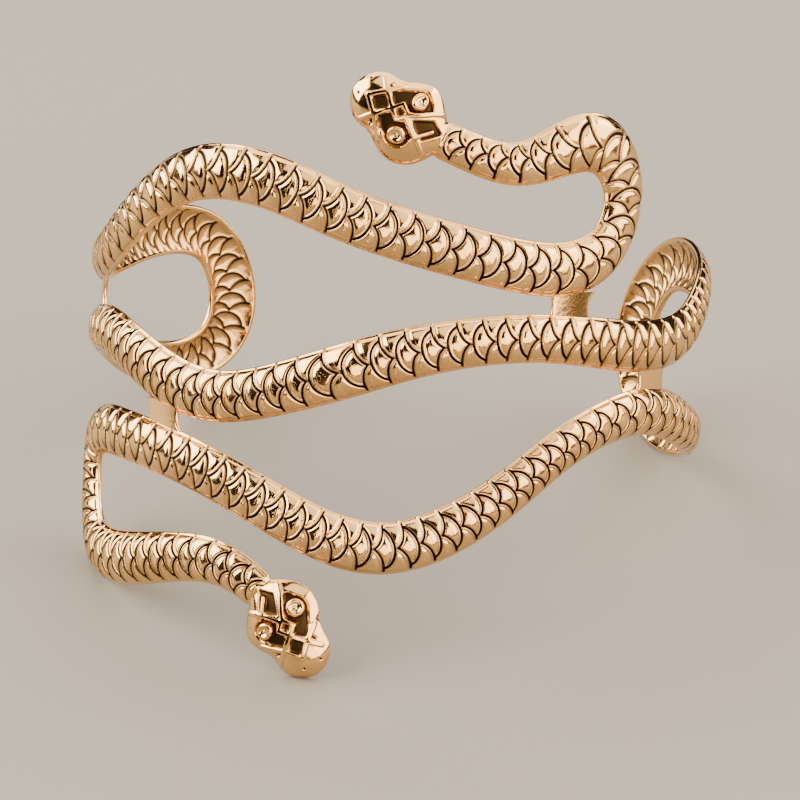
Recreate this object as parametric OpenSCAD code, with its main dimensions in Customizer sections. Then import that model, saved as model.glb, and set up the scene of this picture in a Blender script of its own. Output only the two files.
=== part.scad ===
// Upper arm cuff: one stamped sheet in the form of a long snake with a head at
// each end. The sheet is laid out round an upright oval wall, then the whole
// cuff is leaned back until it rests by itself on the lower head, a neck bend
// and the low back loop. The front faces -Y and the arm's way in is at the back.

/* [Cuff] */
// Outside width of the cuff, side to side
cuff_w = 82; // [78:0.2:92]
// Outside depth of the cuff, front to back
cuff_d = 78.8; // [74:0.2:88]
// Height unit of the body's route, about half of its rise
rise = 33; // [31:0.5:38]
// How far the back loops' middle lines reach round from the front, in degrees
reach = 135; // [130:1:138]

/* [Body] */
// Width of the body on its plain stretches
body_w = 6.6; // [6:0.1:7]
// Height of the body's crown over its rims
crown = 1.6; // [1.2:0.1:2]
// Thickness of the stamped sheet
sheet = 1; // [0.8:0.1:1.2]
// Length of one scale along the body
scale_l = 3; // [2.8:0.1:4]
// How far a scale stands out from the body
scale_rise = 0.24; // [0.1:0.02:0.4]

/* [Heads] */
// Length of a head, from the neck to the tip of the snout
head_l = 12.5; // [11:0.5:14]
// Width of a head across its cheeks
head_w = 10.4; // [9:0.2:12]
// Height of a head's crown over its rims
head_crown = 1.9; // [1.4:0.1:2.4]
// Distance between the middles of the two eyes
eye_gap = 5.1; // [4.6:0.1:5.6]
// Outside diameter of the raised ring round an eye
eye_d = 2.3; // [1.8:0.1:2.6]
// Width of a raised ridge on the head
ridge_w = 0.44; // [0.3:0.02:0.6]

/* [Bridges] */
// Width of a bridge at its waist
bridge_w = 5.6; // [4:0.2:7]

/* [Hidden] */

gold = [0.84, 0.63, 0.40];

// The oval wall that the rims of the sheet lie on
wall_a = cuff_w / 2 - crown;
wall_b = cuff_d / 2 - crown;

// Control points of the body's middle line, from the upper snout to the lower
// one. AROUND is a share of reach, UP of rise and HALF of half the body's width.
AROUND = 0;
UP = 1;
HALF = 2;
ROUTE = [
    // upper head and neck
    [-0.050,  1.150, 0.62],
    [ 0.011,  1.024, 0.62],
    [ 0.056,  0.947, 0.63],
    [ 0.098,  0.874, 0.66],
    [ 0.150,  0.826, 0.70],
    // bend beside the upper neck
    [ 0.240,  0.730, 0.75],
    [ 0.343,  0.938, 1.21],
    [ 0.416,  0.742, 0.93],
    [ 0.397,  0.488, 0.90],
    // top band
    [ 0.333,  0.390, 1.02],
    [ 0.260,  0.385, 0.97],
    [ 0.152,  0.445, 0.97],
    [ 0.015,  0.530, 0.97],
    [-0.100,  0.667, 1.05],
    [-0.218,  0.685, 1.02],
    [-0.316,  0.550, 0.97],
    [-0.382,  0.432, 0.97],
    [-0.455,  0.324, 0.98],
    [-0.533,  0.262, 0.99],
    [-0.667,  0.272, 1.06],
    // left back loop
    [-0.815,  0.364, 1.05],
    [-0.930,  0.364, 1.03],
    [-0.978,  0.120, 1.18],
    [-0.970, -0.095, 1.18],
    [-0.910, -0.214, 0.95],
    [-0.807, -0.216, 0.86],
    // middle band
    [-0.707, -0.125, 0.94],
    [-0.612, -0.036, 0.95],
    [-0.500,  0.000, 0.95],
    [-0.393,  0.008, 0.99],
    [-0.267, -0.138, 1.05],
    [-0.167, -0.194, 0.94],
    [-0.070, -0.124, 0.95],
    [ 0.030, -0.018, 1.03],
    [ 0.133,  0.088, 0.91],
    [ 0.289,  0.154, 0.87],
    [ 0.455,  0.088, 1.00],
    [ 0.588,  0.122, 0.97],
    [ 0.695,  0.285, 0.96],
    // right back loop
    [ 0.802,  0.363, 1.03],
    [ 0.915,  0.394, 1.15],
    [ 0.996,  0.182, 1.25],
    [ 0.996, -0.121, 1.21],
    [ 0.933, -0.335, 1.04],
    [ 0.800, -0.308, 0.98],
    // lower band
    [ 0.637, -0.244, 0.96],
    [ 0.485, -0.104, 0.92],
    [ 0.347, -0.228, 0.79],
    [ 0.265, -0.420, 0.82],
    [ 0.178, -0.600, 0.91],
    [ 0.089, -0.700, 0.98],
    [ 0.004, -0.661, 0.96],
    [-0.089, -0.538, 0.93],
    [-0.207, -0.424, 0.94],
    [-0.344, -0.373, 0.98],
    // bend beside the lower neck
    [-0.505, -0.379, 0.95],
    [-0.492, -0.688, 0.90],
    [-0.438, -0.890, 1.02],
    [-0.300, -0.853, 1.03],
    // lower neck and head
    [-0.164, -0.768, 0.86],
    [-0.096, -0.847, 0.76],
    [-0.060, -0.932, 0.66],
    [-0.027, -1.042, 0.62],
    [ 0.006, -1.168, 0.62],
    [ 0.047, -1.338, 0.62],
];

// Outline of a head from the tip of its snout: share of head_l, share of half
// of head_w, and share of head_crown
HEAD = [
    [0.00, 0.10, 0.10],
    [0.03, 0.30, 0.34],
    [0.07, 0.43, 0.52],
    [0.12, 0.56, 0.70],
    [0.19, 0.66, 0.82],
    [0.27, 0.70, 0.88],
    [0.35, 0.72, 0.92],
    [0.43, 0.78, 0.96],
    [0.51, 0.89, 1.00],
    [0.60, 0.98, 1.00],
    [0.69, 1.00, 0.97],
    [0.78, 0.93, 0.90],
    [0.87, 0.77, 0.80],
    [0.94, 0.58, 0.68],
    [1.00, 0.40, 0.55],
];

// Section of the body: share of the half width, from the left rim over the
// crown to the right rim
ACROSS = [-1, -0.74, -0.37, 0, 0.37, 0.74, 1];

// Raised lines of a head, mirrored about its middle. Each point is a share of
// head_l ahead of the eyes and a share of half of head_w to the side.
RIDGES = [
    // lattice on the snout
    [[ 0.20, 0.00], [ 0.31, 0.32], [ 0.39, 0.68]],
    [[ 0.44, 0.00], [ 0.31, 0.32], [ 0.20, 0.66]],
    // small diamond between the eyes
    [[ 0.20, 0.00], [ 0.10, 0.22], [ 0.00, 0.00]],
    // brow lines that open towards the neck
    [[ 0.00, 0.00], [-0.16, 0.40], [-0.29, 0.60]],
];
// Cross ridges behind the eyes: share of head_l ahead of the eyes, and share
// of half of head_w that they reach to each side
CROSS_RIDGES = [
    [-0.20, 0.26],
    [-0.31, 0.36],
];
// Place of the eyes, as a share of head_l from the tip of the snout
EYES_AT = 0.64;

// Bridges between bands: share of reach, and the shares of rise where the
// bridge is rooted in the lower and in the upper band
BRIDGES = [
    [ 0.326,  0.19,  0.31],
    [-0.530,  0.08,  0.19],
    [ 0.497, -0.08,  0.03],
    [-0.262, -0.33, -0.22],
];
// A bridge's outline from its foot to its head: share of its height, and
// share of its waist
BRIDGE_OUTLINE = [
    [0.00, 1.40],
    [0.30, 1.04],
    [0.70, 1.04],
    [1.00, 1.40],
];

// Sides of the small balls that ridges and bridges are drawn with
BEAD_FACETS = 4;

// Sectors round the cuff, in degrees from the front, where it meets the ground
REST_SECTORS = [[-20, 25], [-85, -45], [80, 138]];
// First guess of the ground's direction, and how often it is improved
REST_GUESS = [0, 0.39, -0.92];
REST_STEPS = 4;

ROWS = [for (r = ROUTE) [r[AROUND] * reach, r[UP] * rise, r[HALF] * body_w / 2]];
DEGREE = 3;
SPANS = len(ROWS) - DEGREE;

// Cubic B-spline weights and their slopes at u within a span
function weights(u) =
    [pow(1 - u, 3), 3 * pow(u, 3) - 6 * pow(u, 2) + 4, -3 * pow(u, 3) + 3 * pow(u, 2) + 3 * u + 1, pow(u, 3)] / 6;
function slopes(u) =
    [-pow(1 - u, 2), 3 * pow(u, 2) - 4 * u, -3 * pow(u, 2) + 2 * u + 1, pow(u, 2)] / 2;
function span_of(s) = max(0, min(floor(s), SPANS - 1));
function four_rows(i) = [ROWS[i], ROWS[i + 1], ROWS[i + 2], ROWS[i + 3]];
function route_at(s) = let (i = span_of(s)) weights(s - i) * four_rows(i);
function route_slope(s) = let (i = span_of(s)) slopes(s - i) * four_rows(i);

// Millimetres of wall per degree at an angle from the front
function stretch(angle) = norm([wall_a * cos(angle), wall_b * sin(angle)]) * PI / 180;

// Length along the middle line against its parameter
FINE = 6;
SAMPLES = [for (k = [0 : SPANS * FINE]) route_at(k / FINE)];
STEPS = [for (k = [1 : len(SAMPLES) - 1])
    let (p = SAMPLES[k - 1], q = SAMPLES[k])
    norm([(q.x - p.x) * stretch((p.x + q.x) / 2), q.y - p.y])];
LENGTHS = [for (k = 0, l = 0; k <= len(STEPS); l = l + (k < len(STEPS) ? STEPS[k] : 0), k = k + 1) l];
PARAMETER = [for (k = [0 : len(LENGTHS) - 1]) [LENGTHS[k], k / FINE]];
ROUTE_L = LENGTHS[len(LENGTHS) - 1];

// Distance from the nearer snout
function from_tip(l) = min(l, ROUTE_L - l);
function on_head(l) = from_tip(l) < head_l;
HEAD_HALF = [for (h = HEAD) [h[0] * head_l, h[1] * head_w / 2]];
HEAD_RISE = [for (h = HEAD) [h[0] * head_l, h[2] * head_crown]];
function half_width(l, row) = on_head(l) ? lookup(from_tip(l), HEAD_HALF) : row[HALF];
function crown_at(l, row) =
    on_head(l) ? lookup(from_tip(l), HEAD_RISE) : crown * min(1, row[HALF] / (body_w / 2));

// A point of the upright wall: angle from the front, height, and how far out
function wall(angle, up, out) =
    [(wall_a + out) * sin(angle), -(wall_b + out) * cos(angle), up];

// Place and directions of the middle line at a length: angle, height, half
// width, crown, and the way across it in degrees and in height
function station(l) =
    let (
        s = lookup(l, PARAMETER),
        row = route_at(s),
        slope = route_slope(s),
        metric = stretch(row.x),
        along = [slope.x * metric, slope.y],
        unit = along / norm(along)
    )
    [row.x, row.y, half_width(l, row), crown_at(l, row), -unit.y / metric, unit.x];

// Height of the outer face over the rims at a share of the half width
function dome(share) = pow(max(0, 1 - pow(abs(share), 2.4)), 0.9);
// A point over a station: share of the half width, and how far out
function over(st, share, out) = wall(st[0] + st[4] * share * st[2], st[1] + st[5] * share * st[2], out);
// A point of the outer face, with some more height over it
function skin(st, share, more) = over(st, share, st[3] * dome(share) + more);

// Stations: those of the upper head, then one for each half scale, then those
// of the lower head
HALF_SCALES = round((ROUTE_L - 2 * head_l) / (scale_l / 2));
BODY_STEP = (ROUTE_L - 2 * head_l) / HALF_SCALES;
STATIONS_L = concat(
    [for (h = HEAD) h[0] * head_l],
    [for (k = [1 : HALF_SCALES - 1]) head_l + k * BODY_STEP],
    [for (k = [1 : len(HEAD)]) ROUTE_L - HEAD[len(HEAD) - k][0] * head_l]
);
STATIONS = [for (l = STATIONS_L) station(l)];

// Scales stand out in a staggered pattern: the odd columns on odd stations and
// the even columns on even ones, and never on a rim or on a head
LAST = len(ACROSS) - 1;
function scale_out(i, j) =
    (j == 0 || j == LAST || on_head(STATIONS_L[i])) ? 0
    : ((i + j) % 2 == 0 ? scale_rise : -scale_rise / 2);

// One closed section: the outer face, then the rims' edges and the hollow back
function section(i) =
    let (
        st = STATIONS[i],
        inset = max(0.3, 1 - sheet / max(st[2], 0.01)),
        back = min(-sheet * 0.35, st[3] - sheet),
        rim = -sheet * 0.35
    )
    concat(
        [for (j = [0 : LAST]) skin(st, ACROSS[j], scale_out(i, j))],
        [over(st, inset, rim), over(st, 0, max(rim, st[3] - sheet)), over(st, -inset, rim)]
    );
UPRIGHT = [for (i = [0 : len(STATIONS) - 1]) section(i)];
RING = len(UPRIGHT[0]);

// The ground: the plane through the lowest point of each rest sector
function lowest(down, sector) =
    let (
        points = [for (i = [0 : len(STATIONS) - 1])
            if (STATIONS[i][0] > sector[0] && STATIONS[i][0] < sector[1]) each UPRIGHT[i]],
        depths = points * down
    )
    points[search(max(depths), depths)[0]];
function better(down, steps) =
    steps == 0 ? down
    : let (
        p = [for (sector = REST_SECTORS) lowest(down, sector)],
        n = cross(p[1] - p[0], p[2] - p[0]),
        unit = n / norm(n)
    )
    better(unit.z < 0 ? unit : -unit, steps - 1);
DOWN = better(REST_GUESS / norm(REST_GUESS), REST_STEPS);

// Axes of the leaned cuff: its own +Z is away from the ground
Z_AXIS = -DOWN;
BACK = [0, 1, 0] - ([0, 1, 0] * Z_AXIS) * Z_AXIS;
Y_AXIS = BACK / norm(BACK);
X_AXIS = cross(Y_AXIS, Z_AXIS);
function lean(p) = [p * X_AXIS, p * Y_AXIS, p * Z_AXIS];
LEANED = [for (ring = UPRIGHT) each [for (p = ring) lean(p)]];
function span_low(k) = min([for (p = LEANED) p[k]]);
function span_high(k) = max([for (p = LEANED) p[k]]);
SHIFT = [-(span_low(0) + span_high(0)) / 2, -(span_low(1) + span_high(1)) / 2, -span_low(2)];
function stand(p) = lean(p) + SHIFT;

// The swept skin: rings joined by triangles and closed at both snouts
BODY_POINTS = [for (p = LEANED) p + SHIFT];
BODY_FACES = concat(
    [for (i = [0 : len(STATIONS) - 2], j = [0 : RING - 1])
        let (a = i * RING + j, b = i * RING + (j + 1) % RING, c = a + RING, d = b + RING)
        each ((i + j) % 2 == 0 ? [[a, d, c], [a, b, d]] : [[a, b, c], [b, d, c]])],
    [[for (j = [0 : RING - 1]) RING - 1 - j]],
    [[for (j = [0 : RING - 1]) (len(STATIONS) - 1) * RING + j]]
);
module body() {
    polyhedron(points = BODY_POINTS, faces = BODY_FACES);
}

// A point on a head: side 0 is the upper head and side 1 the lower one
function head_point(side, ahead, share, more) =
    let (
        tip = (EYES_AT - ahead) * head_l,
        st = station(side == 0 ? tip : ROUTE_L - tip),
        width_share = share * head_w / 2 / st[2]
    )
    stand(skin(st, max(-0.96, min(0.96, width_share)), more));

module bead(p, r) {
    translate(p) sphere(r = r, $fn = BEAD_FACETS);
}

module ridge(side, from, to) {
    sunk = -ridge_w * 0.12;
    hull() {
        bead(head_point(side, from[0], from[1], sunk), ridge_w / 2);
        bead(head_point(side, to[0], to[1], sunk), ridge_w / 2);
    }
}

module ridges(side) {
    for (line = RIDGES, hand = [-1, 1], k = [1 : len(line) - 1])
        ridge(side, [line[k - 1].x, hand * line[k - 1].y], [line[k].x, hand * line[k].y]);
    for (line = CROSS_RIDGES)
        ridge(side, [line[0], -line[1]], [line[0], line[1]]);
}

// A raised ring with a small ball in it, square to the head's face
module eye(side, hand) {
    share = hand * eye_gap / head_w;
    foot = head_point(side, 0, share, 0);
    out = head_point(side, 0, share, 1) - foot;
    ahead = head_point(side, 0.04, share, 0) - foot;
    z = out / norm(out);
    x0 = ahead - (ahead * z) * z;
    x = x0 / norm(x0);
    y = cross(z, x);
    ring = eye_d * 0.15;
    multmatrix([
        [x.x, y.x, z.x, foot.x],
        [x.y, y.y, z.y, foot.y],
        [x.z, y.z, z.z, foot.z],
        [0, 0, 0, 1],
    ]) {
        rotate_extrude($fn = 12) translate([eye_d / 2 - ring, 0]) circle(r = ring, $fn = 4);
        sphere(r = eye_d * 0.16, $fn = 6);
    }
}

module head_relief(side) {
    ridges(side);
    for (hand = [-1, 1]) eye(side, hand);
}

// A thin tab between two bands, narrowest at its waist
module bridge(b) {
    angle = b[0] * reach;
    function corner(row, hand) =
        stand(wall(
            angle + hand * (bridge_w * row[1] - sheet) / 2 / stretch(angle),
            (b[1] + (b[2] - b[1]) * row[0]) * rise,
            0
        ));
    for (k = [1 : len(BRIDGE_OUTLINE) - 1])
        hull()
            for (row = [BRIDGE_OUTLINE[k - 1], BRIDGE_OUTLINE[k]], hand = [-1, 1])
                bead(corner(row, hand), sheet / 2);
}

module cuff() {
    color(gold) {
        body();
        for (side = [0, 1]) head_relief(side);
        for (b = BRIDGES) bridge(b);
    }
}

cuff();
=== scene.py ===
"""Visual scene of an upper arm cuff.

The cuff is one stamped sheet in a gold-tone alloy: a long scaled body that is
folded back and forth round an oval wall, with a head at each end and four small
bridges between neighbouring bands. It leans back as it rests on a table.

Lengths are worked out in millimetres and become metres when a mesh is made.
"""

import logging
from dataclasses import dataclass, field
from enum import Enum
from typing import Any, Callable

import bpy
import numpy as np
from mathutils import Matrix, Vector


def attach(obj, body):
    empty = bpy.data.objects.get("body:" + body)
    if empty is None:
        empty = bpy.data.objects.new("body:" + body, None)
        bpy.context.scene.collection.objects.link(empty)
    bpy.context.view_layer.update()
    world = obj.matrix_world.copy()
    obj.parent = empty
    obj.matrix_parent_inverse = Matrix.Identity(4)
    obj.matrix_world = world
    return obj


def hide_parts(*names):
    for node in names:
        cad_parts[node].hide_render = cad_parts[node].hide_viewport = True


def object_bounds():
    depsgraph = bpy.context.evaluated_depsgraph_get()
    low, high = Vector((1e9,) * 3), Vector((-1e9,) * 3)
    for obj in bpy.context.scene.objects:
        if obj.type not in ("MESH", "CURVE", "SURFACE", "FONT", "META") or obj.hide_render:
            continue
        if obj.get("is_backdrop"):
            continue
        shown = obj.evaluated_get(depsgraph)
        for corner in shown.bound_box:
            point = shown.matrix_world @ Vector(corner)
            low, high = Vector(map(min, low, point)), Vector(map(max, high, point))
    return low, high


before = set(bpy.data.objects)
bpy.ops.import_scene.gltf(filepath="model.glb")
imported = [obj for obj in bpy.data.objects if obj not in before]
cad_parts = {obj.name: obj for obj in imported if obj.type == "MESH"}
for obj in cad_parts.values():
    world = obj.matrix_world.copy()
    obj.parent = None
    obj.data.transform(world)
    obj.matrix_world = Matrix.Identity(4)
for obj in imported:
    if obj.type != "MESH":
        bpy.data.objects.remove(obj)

MM = 0.001
# millimetres on each side of a free end that the vertex attribute "edge" covers
EDGE_SPAN = 0.8
LOG = logging.getLogger("arm_cuff")
Array = np.ndarray
Tree = bpy.types.NodeTree
Socket = bpy.types.NodeSocket
Corners = tuple[tuple[float, float], ...]
# height in millimetres, recess from 0 to 1, and the edge attribute
Relief = tuple[Array, Array, Array]


class Head(Enum):
    """The two heads of the body, by the end of the route that they sit on."""

    UPPER = 0
    LOWER = 1


class Face(Enum):
    """The two faces of the sheet."""

    OUTER = 0
    BACK = 1


def linear(hex_colour: str) -> tuple[float, float, float, float]:
    """Turn an sRGB hex colour to linear light.

    Args:
        hex_colour: colour as "#rrggbb".

    Returns:
        Red, green, blue and an alpha of 1.
    """
    parts = np.array([int(hex_colour[i : i + 2], 16) for i in (1, 3, 5)]) / 255
    low = parts / 12.92
    high = ((parts + 0.055) / 1.055) ** 2.4
    red, green, blue = np.where(parts <= 0.04045, low, high)
    return float(red), float(green), float(blue), 1.0


def ease(x: Array, low: Array | float, high: Array | float) -> Array:
    """Smooth step: 3t^2 - 2t^3 of the share t that x has come from low to high.

    Args:
        x: values to judge.
        low: value that gives 0.
        high: value that gives 1.

    Returns:
        An array from 0 to 1 in the shape of x.
    """
    t = np.clip((x - low) / (high - low), 0, 1)
    return t * t * (3 - 2 * t)


def bell(x: Array, width: float) -> Array:
    """Bell curve exp(-(x / width)^2), which is 1 where x is 0."""
    return np.exp(-((x / width) ** 2))


def unit(vector: Array) -> Array:
    """Vector of length 1 in the same direction."""
    return vector / np.linalg.norm(vector)


def curve_through(x: Array, xs: Array, ys: Array) -> Array:
    """Cubic curve through the points (xs, ys), with the mean slope at each.

    Args:
        x: where to read the curve.
        xs: rising places of the points.
        ys: heights of the points.

    Returns:
        Heights of the curve at x.
    """
    slope = np.gradient(ys, xs)
    i = np.clip(np.searchsorted(xs, x) - 1, 0, len(xs) - 2)
    span = xs[i + 1] - xs[i]
    t = np.clip((x - xs[i]) / span, 0, 1)
    return (
        ys[i] * (2 * t**3 - 3 * t**2 + 1)
        + ys[i + 1] * (3 * t**2 - 2 * t**3)
        + slope[i] * span * (t**3 - 2 * t**2 + t)
        + slope[i + 1] * span * (t**3 - t**2)
    )


def add_node(
    tree: Tree,
    kind: str,
    settings: dict[str, Any] | None = None,
    inputs: dict[str | int, Any] | None = None,
) -> bpy.types.Node:
    """Add a shader node with its settings, values and links.

    Args:
        tree: node tree that takes the node.
        kind: Blender's type name of the node.
        settings: attributes to set on the node.
        inputs: values for its sockets, where an output socket makes a link.

    Returns:
        The new node.
    """
    node = tree.nodes.new(kind)
    for name, value in (settings or {}).items():
        setattr(node, name, value)
    for name, value in (inputs or {}).items():
        if isinstance(value, Socket):
            tree.links.new(value, node.inputs[name])
        else:
            node.inputs[name].default_value = value
    return node


def attribute(tree: Tree, name: str) -> bpy.types.Node:
    """Add a node that reads a vertex attribute, and return it."""
    settings = {"attribute_name": name, "attribute_type": "GEOMETRY"}
    return add_node(tree, "ShaderNodeAttribute", settings)


def calculate(tree: Tree, operation: str, first: Socket, second: Socket) -> Socket:
    """Add a calculation with two values, and return its result."""
    inputs = {0: first, 1: second}
    return add_node(tree, "ShaderNodeMath", {"operation": operation}, inputs).outputs[0]


def mix(tree: Tree, share: Socket, first: Any, second: Any) -> Socket:
    """Add a mix of two colours by a share from 0 to 1, and return it."""
    inputs = {0: share, 6: first, 7: second}
    return add_node(tree, "ShaderNodeMix", {"data_type": "RGBA"}, inputs).outputs[2]


def noise(tree: Tree, scale: float, detail: float, roughness: float = 0.5) -> Socket:
    """Add cloudy noise in the object's own space.

    Args:
        tree: node tree that takes the nodes.
        scale: clouds in a metre.
        detail: how many finer layers it has.
        roughness: strength of each finer layer.

    Returns:
        The noise's value.
    """
    place = add_node(tree, "ShaderNodeTexCoord").outputs["Object"]
    inputs = {"Vector": place, "Scale": scale, "Detail": detail, "Roughness": roughness}
    return add_node(tree, "ShaderNodeTexNoise", inputs=inputs).outputs["Fac"]


def map_range(
    tree: Tree,
    value: Socket,
    old: tuple[float, float],
    new: tuple[float, float] = (0.0, 1.0),
    course: str = "LINEAR",
) -> Socket:
    """Add a map of a value from one range to another, held at both ends.

    Args:
        tree: node tree that takes the node.
        value: what is mapped.
        old: the value's range.
        new: the result's range.
        course: Blender's name for the way between the ends.

    Returns:
        The mapped value.
    """
    inputs = {0: value, 1: old[0], 2: old[1], 3: new[0], 4: new[1]}
    return add_node(
        tree, "ShaderNodeMapRange", {"interpolation_type": course}, inputs
    ).outputs[0]


def blank_material(name: str) -> tuple[bpy.types.Material, Tree]:
    """Make a material with an empty node tree, and return both."""
    material = bpy.data.materials.new(name)
    material.use_nodes = True
    material.node_tree.nodes.clear()
    return material, material.node_tree


def add_surface(tree: Tree, inputs: dict[str | int, Any]) -> None:
    """Add the shader with its values and links, and make it the surface."""
    shader = add_node(tree, "ShaderNodeBsdfPrincipled", inputs=inputs)
    add_node(tree, "ShaderNodeOutputMaterial", inputs={"Surface": shader.outputs[0]})


@dataclass(frozen=True)
class PolishedGoldAlloy:
    """Gold-tone brass alloy, stamped from sheet and polished.

    To the eye it is a pale, slightly pink gold with near-mirror high spots and a
    faint mottle from the plating. Its recesses get a dark brown painted shade,
    which stands in for their shadow and dark reflections.
    """

    gold: str = "#e6bb7c"
    warm: str = "#cf9d5c"
    # dark brown painted shade for the recesses, standing in for their shadow and dark reflections
    painted_shade: str = "#140b06"
    drift_mm: float = 9.0
    mottle_mm: float = 0.55
    pit_mm: float = 0.03
    pit_strength: float = 0.35
    strip_mm: float = 0.035
    # recess where the painted shade begins and where it is full
    painted_shade_from: tuple[float, float] = (0.12, 0.85)
    # recess of a high spot and of a crevice, and the roughness of each
    rough_from: tuple[float, float] = (0.1, 0.9)
    roughness: tuple[float, float] = (0.12, 0.5)
    ramp_margin: float = 0.1
    # millimetres inside a scale's free end, darkness of painted shade, height of the strip
    strip_ramp: tuple[tuple[float, float, float], ...] = (
        (-0.22, 0.0, 0.35), (-0.15, 1.0, 0.0), (-0.02, 1.0, 0.1), (0.04, 0.0, 0.9),
        (0.26, 0.0, 0.9), (0.33, 0.35, 0.5), (0.40, 0.35, 0.45), (0.50, 0.0, 0.6),
    )

    def strip_edges(self, tree: Tree) -> tuple[Socket, Socket]:
        """Fine line of painted shade on each side of the strip that follows a free end.

        The vertex attribute "edge" holds the cosine and sine of pi d / EDGE_SPAN,
        where d is the distance inside the free end, and then how much there is
        of the strip. The angle is smooth over the mesh, so d is fine in between.

        Args:
            tree: the metal's node tree.

        Returns:
            Darkness of painted shade and height, each from 0 to 1.
        """
        edge = attribute(tree, "edge").outputs["Vector"]
        cos, sin, amount = add_node(tree, "ShaderNodeSeparateXYZ", inputs={0: edge}).outputs
        angle = calculate(tree, "ARCTAN2", sin, cos)
        span = EDGE_SPAN / np.pi
        low = self.strip_ramp[0][0] - self.ramp_margin
        high = self.strip_ramp[-1][0] + self.ramp_margin
        share = map_range(tree, angle, (low / span, high / span))
        ramp = add_node(tree, "ShaderNodeValToRGB", inputs={0: share})
        stops = ramp.color_ramp.elements
        while len(stops) < len(self.strip_ramp):
            stops.new(0.5)
        for stop, (place, dark, height) in zip(stops, self.strip_ramp):
            stop.position = (place - low) / (high - low)
            stop.color = (dark, height, 0.0, 1.0)
        found = add_node(tree, "ShaderNodeSeparateColor", inputs={0: ramp.outputs[0]}).outputs
        return (
            calculate(tree, "MULTIPLY", found[0], amount),
            calculate(tree, "MULTIPLY", found[1], amount),
        )

    def material(self) -> bpy.types.Material:
        """Build the plated metal.

        The vertex attribute "recess" is 0 on high spots and 1 in a crevice. It mixes gold to the
        dark painted shade colour, which stands in for shadow and dark reflections, and makes the
        crevice rougher.

        Returns:
            The finished material.
        """
        material, tree = blank_material("polished_gold_alloy")
        dark, raised = self.strip_edges(tree)
        # recess with the strip's lines of painted shade: how much painted shade and roughness a
        # point gets
        recess = calculate(tree, "MAXIMUM", attribute(tree, "recess").outputs["Fac"], dark)
        drift = noise(tree, 1 / (self.drift_mm * MM), 2.0)
        tone = mix(tree, drift, linear(self.gold), linear(self.warm))
        # share of painted shade in the colour
        depth = map_range(tree, recess, self.painted_shade_from, course="SMOOTHSTEP")
        mottle = noise(tree, 1 / (self.mottle_mm * MM), 3.0, 0.55)
        pits = {"Strength": self.pit_strength, "Distance": self.pit_mm * MM, "Height": mottle}
        pitted = add_node(tree, "ShaderNodeBump", inputs=pits).outputs["Normal"]
        strips = {"Distance": self.strip_mm * MM, "Height": raised, "Normal": pitted}
        bump = add_node(tree, "ShaderNodeBump", inputs={"Strength": 1.0, **strips})
        add_surface(tree, {
            "Base Color": mix(tree, depth, tone, linear(self.painted_shade)),
            "Metallic": 1.0,
            "Roughness": map_range(tree, recess, self.rough_from, self.roughness),
            "Normal": bump.outputs["Normal"],
        })
        return material


@dataclass(frozen=True)
class PaleTable:
    """Matt board in a warm mid grey, which the softboxes bring up to a pale tone."""

    paint: str = "#726f6a"
    shade: str = "#6d6a65"

    def material(self) -> bpy.types.Material:
        """Build the board's paint, with a faint unevenness, and return it."""
        material, tree = blank_material("matt_painted_board")
        colour = mix(tree, noise(tree, 6.0, 3.0), linear(self.paint), linear(self.shade))
        add_surface(tree, {"Base Color": colour, "Roughness": 0.6})
        return material


@dataclass(frozen=True)
class Wall:
    """The upright oval wall that the rims of the sheet lie on."""

    half_width: float = 39.4
    half_depth: float = 37.8

    def stretch(self, angle: Array) -> Array:
        """Millimetres of wall per degree: the length of the oval's slope."""
        turn = np.radians(angle)
        wide, deep = self.half_width * np.cos(turn), self.half_depth * np.sin(turn)
        return np.hypot(wide, deep) * np.pi / 180

    def place(self, angle: Array, up: Array, out: Array) -> Array:
        """Points of the wall: ((a + out) sin angle, -(b + out) cos angle, up).

        Args:
            angle: degrees from the front.
            up: height over the pattern's middle.
            out: distance outside the wall.

        Returns:
            Points with x, y and z in the last axis.
        """
        turn = np.radians(angle)
        return np.stack(
            np.broadcast_arrays(
                (self.half_width + out) * np.sin(turn), -(self.half_depth + out) * np.cos(turn), up
            ),
            axis=-1,
        )


@dataclass(frozen=True)
class Stance:
    """How the upright cuff leans on its three rest points.

    The ground's direction and the shift are those of the part's source.
    """

    down: tuple[float, float, float] = (-0.00413661, 0.403846, -0.914818)
    shift: tuple[float, float, float] = (0.0325737, 11.1399, 20.769)

    def axes(self) -> Array:
        """Rows X, Y and Z of the leaned frame.

        Z is away from the ground, Y is the wall's back made square to Z, and X
        is their cross product.

        Returns:
            A 3 by 3 array.
        """
        z = -np.array(self.down)
        y = np.array([0.0, 1.0, 0.0])
        y = unit(y - (y @ z) * z)
        return np.stack([np.cross(y, z), y, z])

    def stand(self, points: Array) -> Array:
        """Lean points of the upright wall and shift them onto the ground."""
        return points @ self.axes().T + np.array(self.shift)


@dataclass
class Stations:
    """Places along the middle line, one value for each row of a mesh.

    angle and up place the line on the wall, half and crown size the section,
    and across_angle and across_up are the way across it for one millimetre.
    """

    length: Array
    angle: Array
    up: Array
    half: Array
    crown: Array
    across_angle: Array
    across_up: Array


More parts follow.
